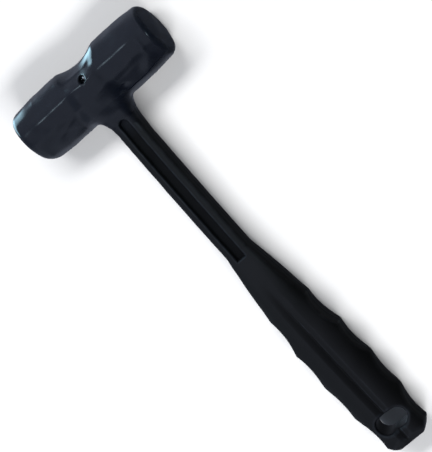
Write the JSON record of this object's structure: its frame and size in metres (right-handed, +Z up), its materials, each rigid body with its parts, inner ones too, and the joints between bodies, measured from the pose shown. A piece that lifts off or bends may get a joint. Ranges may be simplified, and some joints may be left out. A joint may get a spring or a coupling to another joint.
{
  "type": "dead blow mallet",
  "caption": "Dead blow mallet with a moulded black jacket over a shot-filled steel canister and steel core rod, round striking faces, scalloped grip and lanyard slot.",
  "frame": {"origin": "centre of the bounding box's bottom, the bench that the mallet lies on", "axes": "+X along the head's axis towards the right striking face, +Y from the butt to the head along the bench, +Z up out of the bench, the mallet's front"},
  "size_m": [0.1062, 0.307, 0.0378],
  "materials": {
    "jacket": "cast polymer, glossy on the head and satin on the handle",
    "canister_steel": "drawn tube, dull",
    "rod_steel": "hot rolled",
    "bright_steel": "bright plated",
    "shot_steel": "tumbled steel shot"
  },
  "bodies": {
    "mallet": {"outer_jacket": "jacket", "canister_tube": "canister_steel", "canister_cap_left": "canister_steel", "canister_cap_right": "canister_steel", "filler_plug": "bright_steel", "rod_socket": "canister_steel", "core_rod": "rod_steel", "socket_pin": "bright_steel", "anchor_washer": "bright_steel", "anchor_nut": "bright_steel", "locating_stud_front": "bright_steel", "locating_stud_back": "bright_steel"},
    "charge": {"shot_charge": "shot_steel"}
  },
  "joints": [
    {"name": "shot_slide", "type": "slide", "parent": "mallet", "child": "charge", "axis": [1, 0, 0], "range_m": [-0.0147, 0.0147]}
  ]
}
